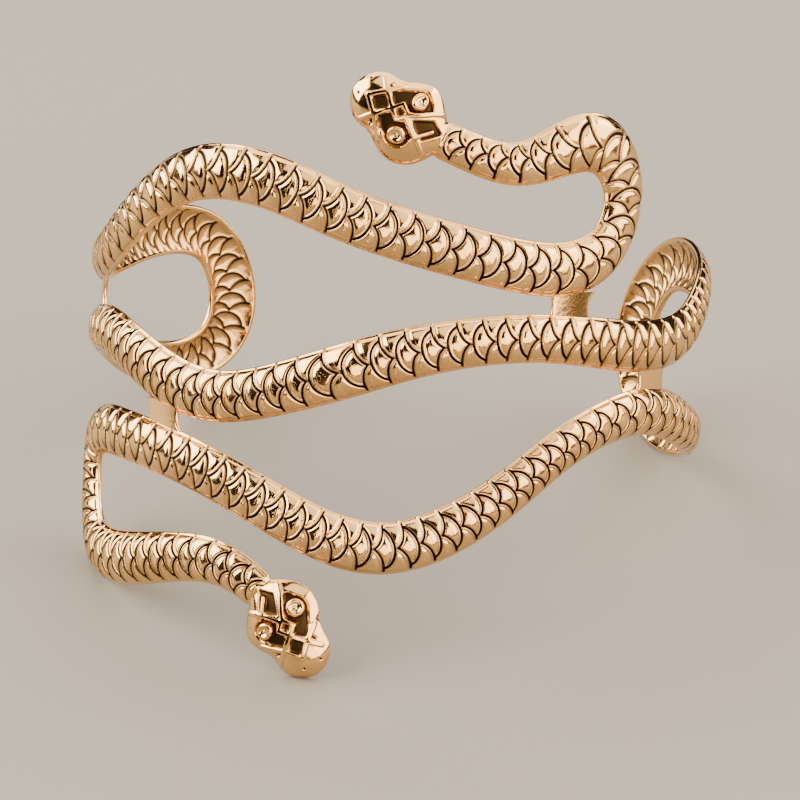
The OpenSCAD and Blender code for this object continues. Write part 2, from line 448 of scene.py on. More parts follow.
@dataclass(frozen=True)
class HeadForm:
    """Sizes and outline of a head, from the tip of the snout to the neck."""

    length: float = 12.5
    width: float = 10.4
    crown: float = 1.9
    eyes_at: float = 0.64
    # share of length, share of half the width, share of the crown
    outline: tuple[tuple[float, float, float], ...] = (
        (0.000, 0.02, 0.02),
        (0.008, 0.12, 0.16),
        (0.032, 0.29, 0.34),
        (0.064, 0.41, 0.50),
        (0.120, 0.56, 0.70),
        (0.192, 0.66, 0.82),
        (0.256, 0.69, 0.88),
        (0.340, 0.705, 0.92),
        (0.424, 0.77, 0.96),
        (0.496, 0.875, 1.00),
        (0.600, 0.98, 1.00),
        (0.696, 1.00, 0.97),
        (0.784, 0.925, 0.90),
        (0.864, 0.79, 0.80),
        (0.928, 0.62, 0.70),
        (0.976, 0.47, 0.60),
        (1.000, 0.40, 0.53),
    )

    def size_at(self, from_tip: Array) -> tuple[Array, Array]:
        """Half width and crown at a distance from the tip of the snout."""
        table = np.array(self.outline)
        share = from_tip / self.length
        half = curve_through(share, table[:, 0], table[:, 1]) * self.width / 2
        crown = curve_through(share, table[:, 0], table[:, 2]) * self.crown
        return half, crown


@dataclass
class Route:
    """The body's middle line as a uniform cubic B-spline on the wall."""

    wall: Wall = field(default_factory=Wall)
    head: HeadForm = field(default_factory=HeadForm)
    reach: float = 135.0
    rise: float = 33.0
    band: float = 6.6
    crown: float = 1.6
    neck_blend: float = 0.6
    steps_per_row: int = 60
    # share of reach, share of rise, share of half the band, from the upper snout
    rows: tuple[tuple[float, float, float], ...] = (
        (-0.050, 1.150, 0.62), (0.011, 1.024, 0.62), (0.056, 0.947, 0.63),
        (0.098, 0.874, 0.66), (0.150, 0.826, 0.70), (0.240, 0.730, 0.75),
        (0.343, 0.938, 1.21), (0.416, 0.742, 0.93), (0.397, 0.488, 0.90),
        (0.333, 0.390, 1.02), (0.260, 0.385, 0.97), (0.152, 0.445, 0.97),
        (0.015, 0.530, 0.97), (-0.100, 0.667, 1.05), (-0.218, 0.685, 1.02),
        (-0.316, 0.550, 0.97), (-0.382, 0.432, 0.97), (-0.455, 0.324, 0.98),
        (-0.533, 0.262, 0.99), (-0.667, 0.272, 1.06), (-0.815, 0.364, 1.05),
        (-0.930, 0.364, 1.03), (-0.978, 0.120, 1.18), (-0.970, -0.095, 1.18),
        (-0.910, -0.214, 0.95), (-0.807, -0.216, 0.86), (-0.707, -0.125, 0.94),
        (-0.612, -0.036, 0.95), (-0.500, 0.000, 0.95), (-0.393, 0.008, 0.99),
        (-0.267, -0.138, 1.05), (-0.167, -0.194, 0.94), (-0.070, -0.124, 0.95),
        (0.030, -0.018, 1.03), (0.133, 0.088, 0.91), (0.289, 0.154, 0.87),
        (0.455, 0.088, 1.00), (0.588, 0.122, 0.97), (0.695, 0.285, 0.96),
        (0.802, 0.363, 1.03), (0.915, 0.394, 1.15), (0.996, 0.182, 1.25),
        (0.996, -0.121, 1.21), (0.933, -0.335, 1.04), (0.800, -0.308, 0.98),
        (0.637, -0.244, 0.96), (0.485, -0.104, 0.92), (0.347, -0.228, 0.79),
        (0.265, -0.420, 0.82), (0.178, -0.600, 0.91), (0.089, -0.700, 0.98),
        (0.004, -0.661, 0.96), (-0.089, -0.538, 0.93), (-0.207, -0.424, 0.94),
        (-0.344, -0.373, 0.98), (-0.505, -0.379, 0.95), (-0.492, -0.688, 0.90),
        (-0.438, -0.890, 1.02), (-0.300, -0.853, 1.03), (-0.164, -0.768, 0.86),
        (-0.096, -0.847, 0.76), (-0.060, -0.932, 0.66), (-0.027, -1.042, 0.62),
        (0.006, -1.168, 0.62), (0.047, -1.338, 0.62),
    )

    def __post_init__(self) -> None:
        """Work out the length along the line against its parameter."""
        self.table = np.array(self.rows) * (self.reach, self.rise, self.band / 2)
        spans = len(self.rows) - 3
        self.parameter = np.linspace(0, spans, self.steps_per_row * spans + 1)
        points, _ = self.spline(self.parameter)
        middle = (points[1:, 0] + points[:-1, 0]) / 2
        around = np.diff(points[:, 0]) * self.wall.stretch(middle)
        step = np.hypot(around, np.diff(points[:, 1]))
        self.lengths = np.concatenate([[0.0], np.cumsum(step)])
        self.total = float(self.lengths[-1])

    def spline(self, parameter: Array) -> tuple[Array, Array]:
        """Points and slopes of the spline: the four cubic weights on four rows.

        Args:
            parameter: places, where each row is one further.

        Returns:
            Rows of angle, height and half width, and their slopes.
        """
        span = np.clip(np.floor(parameter).astype(int), 0, len(self.rows) - 4)
        u = parameter - span
        weight = np.stack(
            [(1 - u) ** 3, 3 * u**3 - 6 * u**2 + 4, -3 * u**3 + 3 * u**2 + 3 * u + 1, u**3], -1
        ) / 6
        slope = np.stack([-((1 - u) ** 2), 3 * u**2 - 4 * u, -3 * u**2 + 2 * u + 1, u**2], -1) / 2
        rows = self.table[span[..., None] + np.arange(4)]
        points, slopes = (np.einsum("...k,...kc->...c", w, rows) for w in (weight, slope))
        return points, slopes

    def stations(self, length: Array) -> Stations:
        """Place, section sizes and the way across at lengths along the line.

        Args:
            length: millimetres from the upper snout.

        Returns:
            The stations, one for each length.
        """
        points, slopes = self.spline(np.interp(length, self.lengths, self.parameter))
        metric = self.wall.stretch(points[:, 0])
        along = np.stack([slopes[:, 0] * metric, slopes[:, 1]], -1)
        along /= np.linalg.norm(along, axis=-1, keepdims=True)
        from_tip = np.minimum(length, self.total - length)
        head_half, head_crown = self.head.size_at(np.minimum(from_tip, self.head.length))
        neck, blend = self.head.length, self.neck_blend
        body = ease(from_tip, neck - blend, neck + blend)
        body_crown = self.crown * np.minimum(1, points[:, 2] / (self.band / 2))
        return Stations(
            length=length,
            angle=points[:, 0],
            up=points[:, 1],
            half=head_half + (points[:, 2] - head_half) * body,
            crown=head_crown + (body_crown - head_crown) * body,
            across_angle=-along[:, 1] / metric,
            across_up=along[:, 0],
        )


@dataclass(frozen=True)
class ScalePattern:
    """Overlapping scales in three staggered columns between plain rims.

    A scale's free end is half an oval that points to the upper head. A smooth
    raised strip follows it, a pillow fills the rest of the cell, and a narrow
    crevice lies where the next scale overlaps it.
    """

    # millimetres from the upper snout, scales of the middle column up to there
    counts: tuple[tuple[float, float], ...] = (
        (12.0, 0.2), (26.8, 5.5), (56.2, 13.5), (113.9, 31.5), (127.6, 35.5), (234.6, 74.5),
        (250.0, 80.5), (276.6, 89.5), (282.8, 91.0), (298.2, 96.0), (323.2, 105.0), (332.2, 107.7),
        (339.9, 110.8), (425.5, 141.5), (438.4, 145.5), (467.5, 156.5), (498.9, 167.5),
        (510.9, 171.5), (552.4, 186.5), (570.4, 193.5), (576.0, 195.5),
    )
    # millimetres from the upper snout, share of the half width that the middle column is off
    drift: tuple[tuple[float, float], ...] = (
        (13.5, 0.0), (16.9, 0.19), (21.4, 0.33), (25.4, 0.22), (28.8, 0.0), (32.0, -0.13),
        (37.5, -0.19), (46.0, -0.10), (57.0, 0.0),
    )
    full_half: float = 3.3
    column: float = 0.70
    spread: float = 0.76
    nose: float = 0.62
    strip: float = 0.36
    strip_height: float = 0.13
    pillow: float = 0.52
    crevice: float = 0.34
    rim: float = 0.24
    # distances over which the strip rises from its free end, and levels off again
    rise: tuple[float, float] = (-0.12, 0.2)
    fall: tuple[float, float] = (-0.16, 0.14)
    # reach of a pillow's quarter circle, what it gains on the strip and the rim,
    # and how much faster it rises from a crevice and from the rim
    pillow_reach: float = 0.75
    slack: float = 0.1
    from_crevice: float = 1.5
    from_rim: float = 1.2
    # width of the lip under an overlap, then its and the rim's shares of the strip
    lip_width: float = 0.2
    lip: float = 0.2
    rim_share: float = 0.7
    # strength and width of the two bells of painted shade along a crevice: a thin line and a broad
    # halo
    crevice_painted_shade: tuple[tuple[float, float], ...] = ((0.50, 0.13), (0.40, 0.40))
    # on the back: width of a swell, its height, and height and width of a groove
    back_swell: tuple[float, float] = (1.6, 0.09)
    back_groove: tuple[float, float] = (0.2, 0.26)
    # on the back: strength and width of the painted shade along a groove
    back_painted_shade: tuple[float, float] = (0.85, 0.27)
    # distance that stands for far from any edge, and limits of a scale's length
    far: float = 3.0
    pitch_limits: tuple[float, float] = (2.2, 4.2)

    def count_at(self, length: Array) -> Array:
        """Scales counted from the upper head up to each length."""
        table = np.array(self.counts)
        return np.interp(length, table[:, 0], table[:, 1])

    def rows(self, low: float, high: float, per_scale: int) -> Array:
        """Lengths from low to high with the same number of rows in each scale.

        Args:
            low: millimetres from the upper snout.
            high: millimetres from the upper snout.
            per_scale: rows for one scale.

        Returns:
            Rising lengths.
        """
        length = np.linspace(low, high, 12000)
        count = self.count_at(length)
        steps = int(round((count[-1] - count[0]) * per_scale))
        return np.interp(np.linspace(count[0], count[-1], steps + 1), count, length)

    def cells(self, st: Stations, share: Array) -> tuple[Array, Array]:
        """Distances to the edges of the scale that lies on top.

        A free end is the half oval (x / spread)^2 + ((y - nose) / nose)^2 = 1,
        and its sides run straight back from there. Scales are gone through in
        the order in which they overlap, so the last that covers a point wins.

        Args:
            st: stations, one for each row.
            share: share of the half width, rows by columns.

        Returns:
            Distance inside the top scale's own edge, and distance from the
            nearest edge that overlaps it, in millimetres.
        """
        count = np.broadcast_to(self.count_at(st.length)[:, None], share.shape)
        pitch = 2 / (self.count_at(st.length + 1) - self.count_at(st.length - 1) + 1e-3)
        pitch = np.clip(pitch, *self.pitch_limits)[:, None]
        half = st.half[:, None]
        drift = np.array(self.drift)
        off = np.interp(st.length, drift[:, 0], drift[:, 1])[:, None]
        shifted = share - off * (1 - share**2)
        own = np.full(share.shape, self.far)
        over = np.full(share.shape, self.far)
        first = np.floor(2 * count)
        for j in range(-4, 4):
            tip = (first + j) / 2
            middle = np.where((first + j) % 2 == 0, np.sign(shifted) * self.column, 0.0)
            x = (shifted - middle) / self.spread
            y = np.minimum((count - tip) / self.nose - 1, 0)
            radius = np.maximum(np.hypot(x, y), 1e-6)
            slope = np.hypot(x / (self.spread * half), y / (self.nose * pitch)) / radius
            inside = np.clip((1 - radius) / np.maximum(slope, 1e-6), -self.far, self.far)
            covers = inside > 0
            own = np.where(covers, inside, own)
            over = np.where(covers, self.far, np.minimum(over, -inside))
        return own, over

    def relief(self, st: Stations, share: Array) -> Relief:
        """Scales on the outer face: height over the plain section, and recess.

        The strip rises along the free end. The pillow behind it rises as a
        quarter circle of the distance to the nearest edge. Both level off to a
        plain rim.

        Args:
            st: stations, one for each row.
            share: share of the half width, rows by columns.

        Returns:
            Height in millimetres, recess from 0 to 1, and the edge attribute.
        """
        own, over = self.cells(st, share)
        half = st.half[:, None]
        size = np.sqrt(half / self.full_half)
        strip = self.strip * size
        to_rim = (1 - np.abs(share)) * half
        room = np.minimum(own - strip + self.slack, self.from_crevice * over)
        room = np.minimum(room, self.from_rim * (to_rim - self.rim + self.slack))
        swell = np.clip(room / (self.pillow_reach * size), 0, 1)
        pillow = self.pillow * size * np.sqrt(1 - (1 - swell) ** 2) - self.crevice
        height = (self.strip_height + self.crevice) * ease(own, *self.rise) - self.crevice
        height += (pillow - height) * ease(own, strip + self.fall[0], strip + self.fall[1])
        height += (1 - ease(over, 0.0, self.lip_width)) * (self.strip_height * self.lip)
        scaled = ease(to_rim, self.rim + self.fall[0], self.rim + self.fall[1])
        height += (self.strip_height * self.rim_share - height) * (1 - scaled)
        near = np.minimum(own, over)
        # painted shade along the crevices, faded out on the plain rims
        recess = sum(dark * bell(near, width) for dark, width in self.crevice_painted_shade) * scaled
        inside = np.clip(np.where(own < over, own, -over) / size, -EDGE_SPAN, EDGE_SPAN)
        turn = np.pi * inside / EDGE_SPAN
        return height, recess, np.stack([np.cos(turn), np.sin(turn), scaled], -1)

    def back_relief(self, st: Stations, share: Array) -> Relief:
        """The same cells on the back: grooves with painted shade between soft swells.

        Args:
            st: stations, one for each row.
            share: share of the half width, rows by columns.

        Returns:
            Height in millimetres, recess from 0 to 1, and an edge attribute of 0.
        """
        own, over = self.cells(st, share)
        near = np.minimum(own, over)
        across = np.clip(own / self.back_swell[0], 0, 1)
        swell = self.back_swell[1] * (across * (1 - across) * 4)
        height = self.back_groove[0] * bell(near, self.back_groove[1]) - swell
        recess = self.back_painted_shade[0] * bell(near, self.back_painted_shade[1])
        return height, recess, np.zeros((*share.shape, 3))


@dataclass(frozen=True)
class HeadRelief:
    """Raised lines, sunken panels and eyes on a head.

    Places are millimetres ahead of the eyes' middle, towards the snout, and
    millimetres to the side.
    """

    eye_side: float = 2.45
    eye_outer: float = 1.06
    eye_inner: float = 0.52
    socket: float = 1.48
    rounding: float = 0.25
    ridge: float = 0.24
    # depth, then corners
    panels: tuple[tuple[float, Corners], ...] = (
        (0.52, ((3.45, 1.35), (2.5, 2.6), (0.9, 3.6), (-0.9, 3.6), (-1.8, 3.0),
                (-2.2, 2.35), (-0.8, 1.45), (0.3, 0.75), (1.5, 1.4), (2.4, 0.35))),
        (0.52, ((3.05, -1.95), (2.1, -0.65), (1.2, -1.3), (0.15, -0.6), (-1.65, -1.85),
                (-1.0, -3.2), (0.9, -3.5), (1.9, -3.2))),
        (0.45, ((4.95, -0.5), (3.9, 0.75), (2.7, -0.1), (3.75, -1.55))),
        (0.30, ((1.8, -0.08), (1.38, 0.62), (0.62, 0.28), (1.06, -0.52))),
        (0.45, ((-0.4, 0.1), (-2.85, 1.5), (-4.6, 0.35), (-2.6, -1.55), (-1.2, -0.55))),
        (0.30, ((4.45, 2.3), (3.55, 2.2), (3.95, 1.6))),
        (0.30, ((3.75, -3.4), (3.45, -2.45), (2.75, -3.35))),
    )
    lines: tuple[Corners, ...] = (
        ((5.5, -0.6), (4.0, 1.15), (2.75, 2.95)),
        ((5.25, 2.2), (4.0, 1.15), (2.3, -0.1), (1.1, -0.9), (0.25, 0.3)),
        ((4.7, -3.8), (3.55, -2.0), (2.25, -0.1), (1.55, 1.05), (0.25, 0.35)),
        ((5.5, -0.6), (3.55, -2.0), (2.3, -3.3), (1.3, -4.2)),
        ((0.25, 0.35), (-0.9, 1.1), (-2.4, 2.1), (-3.6, 2.6)),
        ((0.4, 0.0), (-1.1, -0.9), (-2.4, -1.95), (-3.5, -2.9)),
        ((-2.0, -1.25), (-3.3, 0.1)),
    )
    nostril: tuple[float, float, float] = (6.6, 1.2, 0.16)
    nostril_depth: float = 0.2
    # distances inside a panel over which it sinks, and over which its painted shade comes in
    panel_wall: tuple[float, float] = (-0.1, 0.28)
    panel_shade: tuple[float, float] = (-0.02, 0.2)
    # painted shade in the sunken panels, standing in for their dark reflections
    panel_painted_shade: float = 0.77
    ridge_height: float = 0.17
    # an eye's depth, what its ring is thicker, the painted shade at the ring's foot, its ball
    eye_depth: float = 0.3
    ring_extra: float = 0.08
    ring_painted_shade: float = 0.15
    ball_radius: float = 0.2
    ball_height: float = 0.14
    # distance from the head's outline over which the relief comes up
    fade: tuple[float, float] = (0.2, 0.6)

    @staticmethod
    def to_segment(
        ahead: Array, side: Array, start: tuple[float, float], end: tuple[float, float]
    ) -> Array:
        """Distance from each point to a straight segment."""
        way = np.subtract(end, start)
        t = ((ahead - start[0]) * way[0] + (side - start[1]) * way[1]) / (way @ way)
        t = np.clip(t, 0, 1)
        return np.hypot(ahead - start[0] - t * way[0], side - start[1] - t * way[1])

    def inset(self, corners: Corners) -> Corners:
        """Corners moved in by the rounding, along the two edges' normals.

        Args:
            corners: the panel's corners in order.

        Returns:
            The smaller panel's corners.
        """
        at = np.array(corners)
        way = np.roll(at, -1, axis=0) - at
        way /= np.linalg.norm(way, axis=1, keepdims=True)
        x, y = at.T
        winding = np.sign(np.sum(x * np.roll(y, -1) - np.roll(x, -1) * y))
        normal = winding * np.stack([-way[:, 1], way[:, 0]], -1)
        before = np.roll(normal, 1, axis=0)
        meet = np.maximum(1 + np.sum(normal * before, axis=1, keepdims=True), 0.5)
        return tuple(map(tuple, at + self.rounding * (normal + before) / meet))

    def inside_panel(self, ahead: Array, side: Array, corners: Corners) -> Array:
        """Signed distance inside a panel with rounded corners.

        Args:
            ahead: millimetres ahead of the eyes' middle.
            side: millimetres to the side.
            corners: the panel's corners in order.

        Returns:
            Millimetres inside it, below 0 outside, by ray crossings.
        """
        corners = self.inset(corners)
        ends = corners[1:] + corners[:1]
        near = np.min([self.to_segment(ahead, side, a, b) for a, b in zip(corners, ends)], axis=0)
        odd = np.zeros(ahead.shape, bool)
        for a, b in zip(corners, ends):
            spans = (a[1] > side) != (b[1] > side)
            rise = b[1] - a[1] if b[1] != a[1] else 1e-9
            odd ^= spans & (ahead < a[0] + (side - a[1]) * (b[0] - a[0]) / rise)
        return np.where(odd, near, -near) + self.rounding

    def set_eyes(self, away: Array, height: Array, recess: Array) -> tuple[Array, Array]:
        """Set the eyes into a relief: a ring with a bowl and a small ball in it.

        Args:
            away: millimetres from the middle of the nearer eye.
            height: the relief's height.
            recess: the relief's recess.

        Returns:
            Height and recess with the eyes.
        """
        mid = (self.eye_outer + self.eye_inner) / 2
        thick = (self.eye_outer - self.eye_inner) / 2 + self.ring_extra
        ring = np.sqrt(np.clip(1 - ((away - mid) / thick) ** 2, 0, 1))
        within = away < mid + thick
        bowl = np.where(away < mid, self.eye_depth * (away / mid) ** 2, -self.eye_depth)
        rise = 2 * self.eye_depth * ring - self.eye_depth
        height = np.where(within, np.maximum(bowl, rise), height)
        ball = np.sqrt(np.clip(1 - (away / self.ball_radius) ** 2, 0, 1))
        raised = np.maximum(height, self.ball_height * ball)
        height = np.where(away < self.ball_radius, raised, height)
        # painted shade at the ring's foot; the ring's top and the bowl stay without it
        bright = np.maximum(ease(ring, 0.2, 0.6), away < mid)
        return height, np.where(within, self.ring_painted_shade * (1 - bright), recess)

    def relief(self, ahead: Array, side: Array, edge: Array) -> tuple[Array, Array]:
        """Height of the head's relief and how recessed it is.

        Panels sink by a smooth step of the distance inside them, and the
        deepest ones take in the eyes' sockets. Lines rise by a smooth step of
        the distance from them.

        Args:
            ahead: millimetres ahead of the eyes' middle.
            side: millimetres to the side.
            edge: millimetres from the head's outline.

        Returns:
            Height in millimetres and recess from 0 to 1.
        """
        height = np.zeros(ahead.shape)
        recess = np.zeros(ahead.shape)
        away = np.hypot(ahead, np.abs(side) - self.eye_side)
        deepest = max(depth for depth, _ in self.panels)
        for depth, corners in self.panels:
            inside = self.inside_panel(ahead, side, corners)
            if depth == deepest:
                inside = np.maximum(inside, self.socket - away)
            height = np.minimum(height, -depth * ease(inside, *self.panel_wall))
            # painted shade in the panel, standing in for its dark reflection
            recess = np.maximum(recess, self.panel_painted_shade * ease(inside, *self.panel_shade))
        for line in self.lines:
            for start, end in zip(line[:-1], line[1:]):
                gap = self.to_segment(ahead, side, start, end)
                on = 1 - ease(gap, self.ridge * 0.75, self.ridge * 1.5)
                height = height + (self.ridge_height - height) * on
                recess = recess * (1 - on)
        height, recess = self.set_eyes(away, height, recess)
        nostril_ahead, nostril_side, radius = self.nostril
        hole = np.hypot(ahead - nostril_ahead, np.abs(side) - nostril_side)
        pit = 1 - ease(hole, radius * 0.5, radius * 1.4)
        height = height - self.nostril_depth * pit
        # painted shade in the nostril pits
        recess = np.maximum(recess, pit)
        keep = ease(edge, *self.fade)
        return height * keep, recess * keep


@dataclass
class Skin:
    """A closed tube of points, with its normals, recess and strip edge values."""

    points: Array
    normals: Array
    recess: Array
    edge: Array
    seam: int = 0

    def part(self, low: int, high: int) -> "Skin":
        """Skin of the rows from low to high, both included."""
        rows = slice(low, high + 1)
        return Skin(
            self.points[rows], self.normals[rows], self.recess[rows], self.edge[rows], self.seam
        )


def ring_normals(points: Array) -> Array:
    """Unit normals of a closed tube: the way round it crossed with the way along."""
    around = np.roll(points, -1, axis=1) - np.roll(points, 1, axis=1)
    normals = np.cross(around, np.gradient(points, axis=0))
    return normals / np.maximum(np.linalg.norm(normals, axis=-1, keepdims=True), 1e-12)


@dataclass
class SheetSection:
    """The sheet's closed section, carried along the route.

    The outer face is crown * (1 - |q|^power)^bow over the rims, the back is the
    same form one thickness lower, and a rounded edge joins them on each side.
    """

    route: Route
    stance: Stance
    sheet: float = 1.0
    edge: float = 0.55
    back_rim: float = -0.35
    # least recess on the back: a rougher, duller finish, and a slight painted shade over the inner
    # face
    back_dullness_and_shade: float = 0.36
    back_flatness: float = 0.4
    back_fade: float = 0.12
    power: float = 2.4
    bow: float = 0.9
    # share of the half width beyond which the face's slope is held
    steepest: float = 0.985
    # edge from the outer rim to the back: share of the way in, share of back_rim
    edge_profile: tuple[tuple[float, float], ...] = (
        (0.015, 0.30), (0.08, 0.66), (0.26, 0.95), (0.52, 1.05), (0.80, 1.02),
    )

    def dome(self, share: Array) -> Array:
        """Height of the section as a share of its crown."""
        return np.maximum(0, 1 - np.abs(share) ** self.power) ** self.bow

    def columns(self, count: int, flatness: float) -> Array:
        """Shares across the face that lie evenly along its curved length.

        Args:
            count: number of columns, rims included.
            flatness: crown as a share of the half width.

        Returns:
            Rising shares from -1 to 1.
        """
        share = np.sin(np.linspace(-np.pi / 2, np.pi / 2, 4001))
        run = np.hypot(np.diff(share), flatness * np.diff(self.dome(share)))
        total = np.concatenate([[0.0], np.cumsum(run)])
        return np.interp(np.linspace(0, total[-1], count), total, share)

    def face(
        self, share: Array, half: Array, crown: Array, height: Array, foot: float
    ) -> tuple[Array, Array]:
        """Section points of a domed face, pushed out along its own normal.

        Args:
            share: share of the half width, one for each column.
            half: half width of each row.
            crown: rise of the face over its foot, for each row.
            height: relief on it, rows by columns.
            foot: level of its rims.

        Returns:
            Way across and way out, rows by columns, in millimetres.
        """
        across = half[:, None] * share
        out = foot + crown[:, None] * self.dome(share)
        inner = np.clip(np.abs(share), 0, self.steepest)
        fall = self.bow * (1 - inner**self.power) ** (self.bow - 1)
        fall = fall * self.power * inner ** (self.power - 1) * np.sign(share)
        lean = fall * crown[:, None] / np.maximum(half[:, None], 0.05)
        size = np.hypot(lean, 1)
        return across + height * lean / size, out + height / size

    def skin(
        self,
        length: Array,
        outer_count: int,
        back_count: int,
        relief: Callable[[Stations, Array, Face], Relief],
        back_share: float,
    ) -> Skin:
        """Carry the section along the route and dress both faces with relief.

        Args:
            length: rows, as lengths along the route.
            outer_count: columns on the outer face.
            back_count: columns on the back.
            relief: gives height, recess and edge for stations and shares.
            back_share: how much of the relief shows as hollows on the back.

        Returns:
            The closed skin in millimetres, standing on the ground.
        """
        st = self.route.stations(length)
        share = self.columns(outer_count, self.route.crown / (self.route.band / 2))
        shares = np.broadcast_to(share, (len(length), outer_count))
        height, recess, edge = relief(st, shares, Face.OUTER)
        across, out = self.face(share, st.half, st.crown, height, 0.0)

        inset = np.maximum(0.3, 1 - self.edge / np.maximum(st.half, 0.01))
        back = self.columns(back_count, self.back_flatness)[::-1]
        shares = np.broadcast_to(back, (len(length), back_count))
        under, shade, _ = relief(st, shares, Face.BACK)
        lift = np.maximum(0.0, st.crown - self.sheet - self.back_rim)
        fade = ease(1 - np.abs(back), 0.0, self.back_fade)
        back_across, back_out = self.face(
            back, st.half * inset, lift, under * back_share * fade, self.back_rim
        )

        profile = np.array(self.edge_profile)
        way_in = st.half[:, None] * (1 - (1 - inset)[:, None] * profile[:, 0])
        level = np.broadcast_to(self.back_rim * profile[:, 1], way_in.shape)
        plain = np.zeros(way_in.shape)
        across = np.concatenate([across, way_in, back_across, -way_in[:, ::-1]], 1)
        out = np.concatenate([out, level, back_out, level[:, ::-1]], 1)
        # the back's recess, for its duller finish and painted shade, faded out at its rims
        dull_and_shade = np.maximum(shade, self.back_dullness_and_shade) * fade
        recess = np.concatenate([recess, plain, dull_and_shade, plain], 1)
        rest = np.zeros((len(length), out.shape[1] - outer_count, 3))
        edge = np.concatenate([edge, rest], 1)

        points = self.route.wall.place(
            st.angle[:, None] + st.across_angle[:, None] * across,
            st.up[:, None] + st.across_up[:, None] * across,
            out,
        )
        points = self.stance.stand(points)
        return Skin(points, ring_normals(points), recess, edge, outer_count // 2)


def place_object(name: str, data: Any) -> bpy.types.Object:
    """Make an object of a mesh, a light or a camera and link it to the scene."""
    made = bpy.data.objects.new(name, data)
    bpy.context.scene.collection.objects.link(made)
    return made


def world_matrix(x: Array, y: Array, z: Array, place: Array) -> Matrix:
    """Matrix of an object with these axes at a place in metres."""
    matrix = np.eye(4)
    matrix[:3] = np.stack([x, y, z, place], -1)
    return Matrix(matrix.tolist())


def tube_mesh(name: str, skin: Skin) -> bpy.types.Object:
    """Make a closed tube of quads from a skin, with both ends capped.

    Row i and column j join to row i + 1 and column j + 1, where the columns
    close on themselves. From the seam on, a quad starts at its next corner, so
    that its diagonal follows the pattern on that side too. The whole is turned
    inside out if its volume, the sum of a . (b x c) over its faces, comes out
    negative.

    Args:
        name: name of the piece.
        skin: rows by columns of points in millimetres.

    Returns:
        The new object, linked to the scene.
    """
    rows, cols = skin.points.shape[:2]
    points = (skin.points * MM).reshape(-1, 3)
    i, j = np.meshgrid(np.arange(rows - 1), np.arange(cols), indexing="ij")
    a = i * cols + j
    b = i * cols + (j + 1) % cols
    quads = np.stack([a, b, b + cols, a + cols], -1)
    turned = np.stack([b, b + cols, a + cols, a], -1)
    quads = np.where((j >= skin.seam)[..., None], turned, quads).reshape(-1, 4)
    ends = [np.arange(cols)[::-1], (rows - 1) * cols + np.arange(cols)]
    normals = skin.normals.reshape(-1, 3)
    middle = points.mean(0)
    p = points[quads] - middle
    volume = np.einsum("ij,ij->i", p[:, 0], np.cross(p[:, 1], p[:, 2])).sum()
    volume += np.einsum("ij,ij->i", p[:, 0], np.cross(p[:, 2], p[:, 3])).sum()
    if volume < 0:
        quads = quads[:, ::-1]
        ends = [end[::-1] for end in ends]
    first = np.cross(p[:, 1] - p[:, 0], p[:, 2] - p[:, 0]) * (-1 if volume < 0 else 1)
    if np.einsum("ij,ij->i", first, normals[quads[:, 0]]).sum() < 0:
        normals = -normals
    loops = np.concatenate([quads.ravel(), *ends]).astype(np.int32)
    starts = np.concatenate([np.arange(len(quads)) * 4, len(quads) * 4 + np.array([0, cols])])
    mesh = bpy.data.meshes.new(name)
    mesh.vertices.add(len(points))
    mesh.vertices.foreach_set("co", points.ravel().astype(np.float32))
    mesh.loops.add(len(loops))
    mesh.loops.foreach_set("vertex_index", loops)
    mesh.polygons.add(len(starts))
    mesh.polygons.foreach_set("loop_start", starts.astype(np.int32))
    mesh.update(calc_edges=True)
    mesh.polygons.foreach_set("use_smooth", np.ones(len(starts), bool))
    recess = mesh.attributes.new("recess", "FLOAT", "POINT")
    recess.data.foreach_set("value", skin.recess.ravel().astype(np.float32))
    edge = mesh.attributes.new("edge", "FLOAT_VECTOR", "POINT")
    edge.data.foreach_set("vector", skin.edge.ravel().astype(np.float32))
    mesh.normals_split_custom_set_from_vertices(normals.tolist())
    return place_object(name, mesh)


@dataclass
class ScaledBody:
    """The scaled body between the two heads, made in a few long lengths."""

    section: SheetSection
    pattern: ScalePattern = field(default_factory=ScalePattern)
    rows_per_scale: int = 22
    outer_count: int = 58
    back_count: int = 32
    pieces: int = 5
    fade_in: float = 0.7

    def relief_at(self, st: Stations, share: Array, face: Face) -> Relief:
        """Scales on one face at stations and shares, faded in behind each head."""
        relief = self.pattern.relief if face is Face.OUTER else self.pattern.back_relief
        height, recess, edge = relief(st, share)
        route = self.section.route
        from_head = np.minimum(st.length, route.total - st.length) - route.head.length
        fade = ease(from_head, 0.0, self.fade_in)[:, None]
        edge[..., 2] *= fade
        return height * fade, recess * fade, edge

    def build(self) -> list[bpy.types.Object]:
        """Build the body.

        Returns:
            Its pieces, which meet face to face.
        """
        route, head = self.section.route, self.section.route.head
        rows = self.pattern.rows(head.length, route.total - head.length, self.rows_per_scale)
        skin = self.section.skin(rows, self.outer_count, self.back_count, self.relief_at, -1.0)
        cuts = np.linspace(0, len(rows) - 1, self.pieces + 1).round().astype(int)
        made = []
        for k, (low, high) in enumerate(zip(cuts[:-1], cuts[1:])):
            made.append(tube_mesh(f"scaled_body_{k + 1}", skin.part(low, high)))
            LOG.info("scaled body %d: %d rows", k + 1, high - low)
        return made


